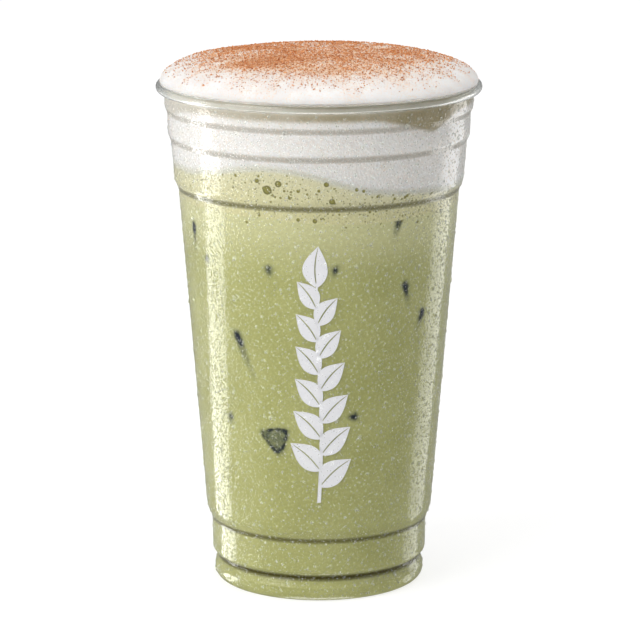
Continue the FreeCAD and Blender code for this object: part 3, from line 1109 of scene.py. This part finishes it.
def make_print():
    """A stem, pairs of leaves that grow shorter upwards, and one leaf at the tip."""
    height = np.linspace(SPRIG_LOW, SPRIG_HIGH - STEM_STOPS, STEM_POINTS)
    taper = STEM_HALF_WIDTH * (1.0 - 0.5 * np.linspace(0.0, 1.0, STEM_POINTS))
    stem = [np.stack([stem_centre(height) + sign * taper, height], axis=1) for sign in (-1.0, 1.0)]
    films = [film_body(*stem)]
    spacing = (SPRIG_HIGH - SPRIG_LOW - LEAFLESS) / (LEAF_PAIRS - 0.5)
    for number in range(2 * LEAF_PAIRS):
        base = SPRIG_LOW + LOWEST_LEAF + 0.5 * spacing * number
        length = LEAF_LENGTH * (1.0 - 0.018 * number)
        rightward = number % 2 == 0
        angle = math.radians(LEAF_TILT + 1.2 * number)
        for side_sign in (-1.0, 1.0):
            inner, outer = half_leaf(base, angle, length, side_sign)
            if not rightward:
                mirror = np.array([-1.0, 1.0])
                centre = np.array([2.0 * stem_centre(base), 0.0])
                inner, outer = inner * mirror + centre, outer * mirror + centre
            ordered = (inner, outer) if (side_sign < 0) == rightward else (outer, inner)
            films.append(film_body(*ordered))
    for side_sign in (-1.0, 1.0):
        inner, outer = half_leaf(SPRIG_HIGH - TIP_LEAF, math.radians(TIP_TILT), LEAF_LENGTH, side_sign)
        films.append(film_body(*((inner, outer) if side_sign < 0 else (outer, inner))))
    vertices = np.vstack([film[0] for film in films])
    offsets = np.cumsum([0] + [len(film[0]) for film in films])
    faces = [[corner + offset for corner in face] for film, offset in zip(films, offsets) for face in film[1]]
    add_piece("printed_sprig", vertices, faces, white_ink())


make_print()

# %% [markdown]
# Cold cups sweat: water gathers on the plastic in beads, thousands of fine ones, fewer larger ones, and
# here and there one of two millimetres. Mist is relief in the cup's finish. From 0.4 mm across up, beads
# are modelled as low domes of clear water, because a real dome bends the light and darkens at its rim,
# which no flat picture of a bead does. The bright spot where a drop gathers the light is painted light: a
# pale matt spot mixed into the water a little below each bead's middle. The fine ones are so many that
# each is only a six-sided point.

# %% Condensation
def water():
    """Clear water, with a pale matt spot of painted light where the drop gathers the light."""
    finish = Finish("water")
    bead = finish.surface(Base_Color=srgb(252, 253, 252), Roughness=0.05, IOR=1.333, Transmission_Weight=1.0)
    # A pale matt spot of painted light, mixed into the clear water.
    spot = finish.surface(Base_Color=srgb(255, 255, 246), Roughness=0.3)
    lens = finish.node("ShaderNodeMixShader", None, {0: finish.value("light_pool") * 0.42, 1: bead, 2: spot})
    return finish.done(finish.clear_to_lamps(lens))


water_finish = water()
bead_sizes = [
    # name, how many, smallest and largest radius, height as a share of the radius, rings, points around, seed
    ("beads_fine", 16000, 0.2, 0.38, 0.62, [], 6, 51),
    ("beads_medium", 2300, 0.34, 0.62, 0.58, [1.0, 0.8, 0.45], 10, 52),
    ("beads_large", 170, 0.62, 1.05, 0.5, [1.0, 0.92, 0.75, 0.45], 20, 53),
]
BEAD_SUNK = 0.03
SPREAD = np.array([0.7548777, 0.5698403])
LIGHT_POOL_DROP = 0.3
LIGHT_POOL_REACH = 0.36
HIGHEST_BEAD = 150.0
HEEL_TOP = 19.2
BEADS_BELOW_HEEL = 18.6


def even_scatter(chance, count):
    """Point i is i times two fixed fractions, wrapped to 0 to 1, plus a third of a gap at random."""
    steps = np.arange(count)[:, None] * SPREAD
    shares = steps + chance.uniform(-0.33, 0.33, (count, 2)) / math.sqrt(count)
    return (shares % 1.0).T


def make_beads(name, count, smallest, largest, share, rings, around, seed):
    """Beads of one size: evenly over the wall's area, sizes skewed towards the small end."""
    chance = np.random.default_rng(seed)
    around_share, up_share = even_scatter(chance, count)
    azimuth = np.pi * (2.0 * around_share - 1.0)
    first, last = distance_at(HEEL_TOP) - BEADS_BELOW_HEEL, distance_at(HIGHEST_BEAD)
    distance = first + (last - first) * up_share ** 0.93
    radius = smallest + (largest - smallest) * chance.uniform(0.0, 1.0, count) ** 2.0
    height = share * radius * chance.uniform(0.8, 1.15, count)
    vertices, faces, local = domes_on_wall(azimuth, distance, radius, height, np.array(rings), around,
                                           0.0, BEAD_SUNK)
    # The spot of painted light sits a little below each bead's middle.
    off_spot = np.linalg.norm(local + [0.0, LIGHT_POOL_DROP], axis=1)
    light_pool = np.exp(-(off_spot / LIGHT_POOL_REACH) ** 2)
    light_pool = np.tile(light_pool / light_pool.max(), count)
    add_piece(name, vertices, faces, water_finish, values={"light_pool": light_pool})


for entry in bead_sizes:
    make_beads(*entry)

# %% [markdown]
# The studio is plain: a pale floor, a soft sky of even grey, a large soft lamp at the upper left and a weak
# one at the upper right. The white behind the cup is only for rays that come straight from the camera or
# pass through clear plastic, so it adds no light to the cup. Two tall strips at the sides make the bright
# bands down the cup, and a panel below makes the pale line under the lip. These three are hidden from matt
# surfaces, and the floor is hidden from reflections, because a wall that leans outwards mirrors what is
# below the table top.

# %% Floor and surroundings
SKY_LEVEL = 0.72
GLOSS_LEVEL = 0.3
FLOOR_SHADE = 0.45
FLOOR_LIFT = 0.68
FLOOR_REACH = 20.0
WHITE = (1.0, 1.0, 1.0, 1.0)


def seen(finish):
    """1 for rays that come straight from the camera or pass through clear plastic."""
    return (finish.ray("Camera") + finish.ray("Transmission")).at_most(1.0)


def add_floor():
    """A large pale sheet at height zero, lifted to white for the camera but still shaded under the cup."""
    finish = Finish("floor_paper")
    grey = (FLOOR_SHADE, FLOOR_SHADE, FLOOR_SHADE, 1.0)
    paper = finish.node("ShaderNodeBsdfDiffuse", None, {"Color": grey})
    glow = finish.node("ShaderNodeEmission", None, {"Color": WHITE, "Strength": seen(finish) * FLOOR_LIFT})
    mesh = bpy.data.meshes.new("floor")
    corners = [(x * FLOOR_REACH, y * FLOOR_REACH, 0.0) for x, y in [(-1, -1), (1, -1), (1, 1), (-1, 1)]]
    mesh.from_pydata(corners, [], [(0, 1, 2, 3)])
    mesh.materials.append(finish.done(finish.node("ShaderNodeAddShader", None, {0: paper, 1: glow})))
    floor = bpy.data.objects.new("floor", mesh)
    bpy.context.scene.collection.objects.link(floor)
    floor.visible_glossy = False
    floor.visible_shadow = False


def set_sky():
    """An even sky: a plain level of light, and white where the camera looks past the cup."""
    sky = Finish("studio", bpy.data.worlds)
    level = sky.node("ShaderNodeMix", None, {0: seen(sky), 2: SKY_LEVEL, 3: 1.0})
    level = sky.node("ShaderNodeMix", None, {0: sky.ray("Glossy"), 2: level, 3: GLOSS_LEVEL})
    light = sky.node("ShaderNodeBackground", None, {"Color": WHITE, "Strength": level})
    bpy.context.scene.world = sky.done(light, "ShaderNodeOutputWorld")


add_floor()
set_sky()

# %% [markdown]
# A lamp is placed by where it stands round the cup: its azimuth from the front, its height above the table
# and its distance. A strip is given by its two ends. Its strength is stated as the brightness of its face,
# and the watts follow from that: brightness * pi * area.

# %% Lamps
AIM = Vector((0.0, 0.0, 0.09))


def around_cup(azimuth, distance, height):
    """A place in metres, at an azimuth in degrees from the front."""
    angle = math.radians(azimuth)
    return Vector((distance * math.sin(angle), -distance * math.cos(angle), height))


def add_lamp(name, place, along, width, length, brightness, only_reflections=False):
    """A rectangular lamp whose long side lies along a direction and whose face looks at the cup."""
    lamp = bpy.data.lights.new(name, "AREA")
    lamp.shape = "RECTANGLE"
    lamp.size = width
    lamp.size_y = length
    lamp.energy = brightness * math.pi * width * length
    fixture = bpy.data.objects.new(name, lamp)
    backward = (place - AIM).normalized()
    upward = (along - backward * along.dot(backward)).normalized()
    sideways = upward.cross(backward)
    turning = Matrix((sideways, upward, backward)).transposed().to_4x4()
    fixture.matrix_world = Matrix.Translation(place) @ turning
    if only_reflections:
        fixture.visible_diffuse = False
    bpy.context.scene.collection.objects.link(fixture)


def add_strip(name, top, bottom, width, brightness):
    """A strip between two places, each an azimuth, a distance and a height, seen only in reflections."""
    high, low = around_cup(*top), around_cup(*bottom)
    add_lamp(name, (high + low) / 2.0, high - low, width, (high - low).length, brightness, True)


UP = Vector((0.0, 0.0, 1.0))
add_lamp("key", around_cup(-50.0, 1.1, 0.85), UP, 0.9, 0.9, 3.2)
add_lamp("fill", around_cup(65.0, 1.1, 0.8), UP, 0.9, 0.9, 0.7)
add_strip("left_strip", (-84.0, 0.5, 0.04), (-126.0, 0.5, -0.22), 0.13, 7.2)
add_strip("right_strip", (131.0, 0.6, 0.10), (114.0, 0.6, -0.27), 0.26, 2.6)
add_lamp("under_glow", Vector((0.0, 0.0, -0.7)), Vector((0.0, 1.0, 0.0)), 0.45, 0.45, 4.5, True)

# %% [markdown]
# The camera stands about a metre in front of the cup and a little above it, looking slightly down through a
# long lens, which keeps the sides of the cup almost parallel.

# %% Camera
CAMERA_PLACE = (0.0003, -1.0, 0.3035)
CAMERA_PITCH = 77.395
CAMERA_LENS = 189.12

lens = bpy.data.cameras.new("camera")
lens.lens = CAMERA_LENS
lens.sensor_width = 36.0
lens.clip_start = 0.05
camera = bpy.data.objects.new("camera", lens)
camera.location = CAMERA_PLACE
camera.rotation_euler = (math.radians(CAMERA_PITCH), 0.0, 0.0)
bpy.context.scene.collection.objects.link(camera)
bpy.context.scene.camera = camera
bpy.context.scene.view_settings.view_transform = "Standard"
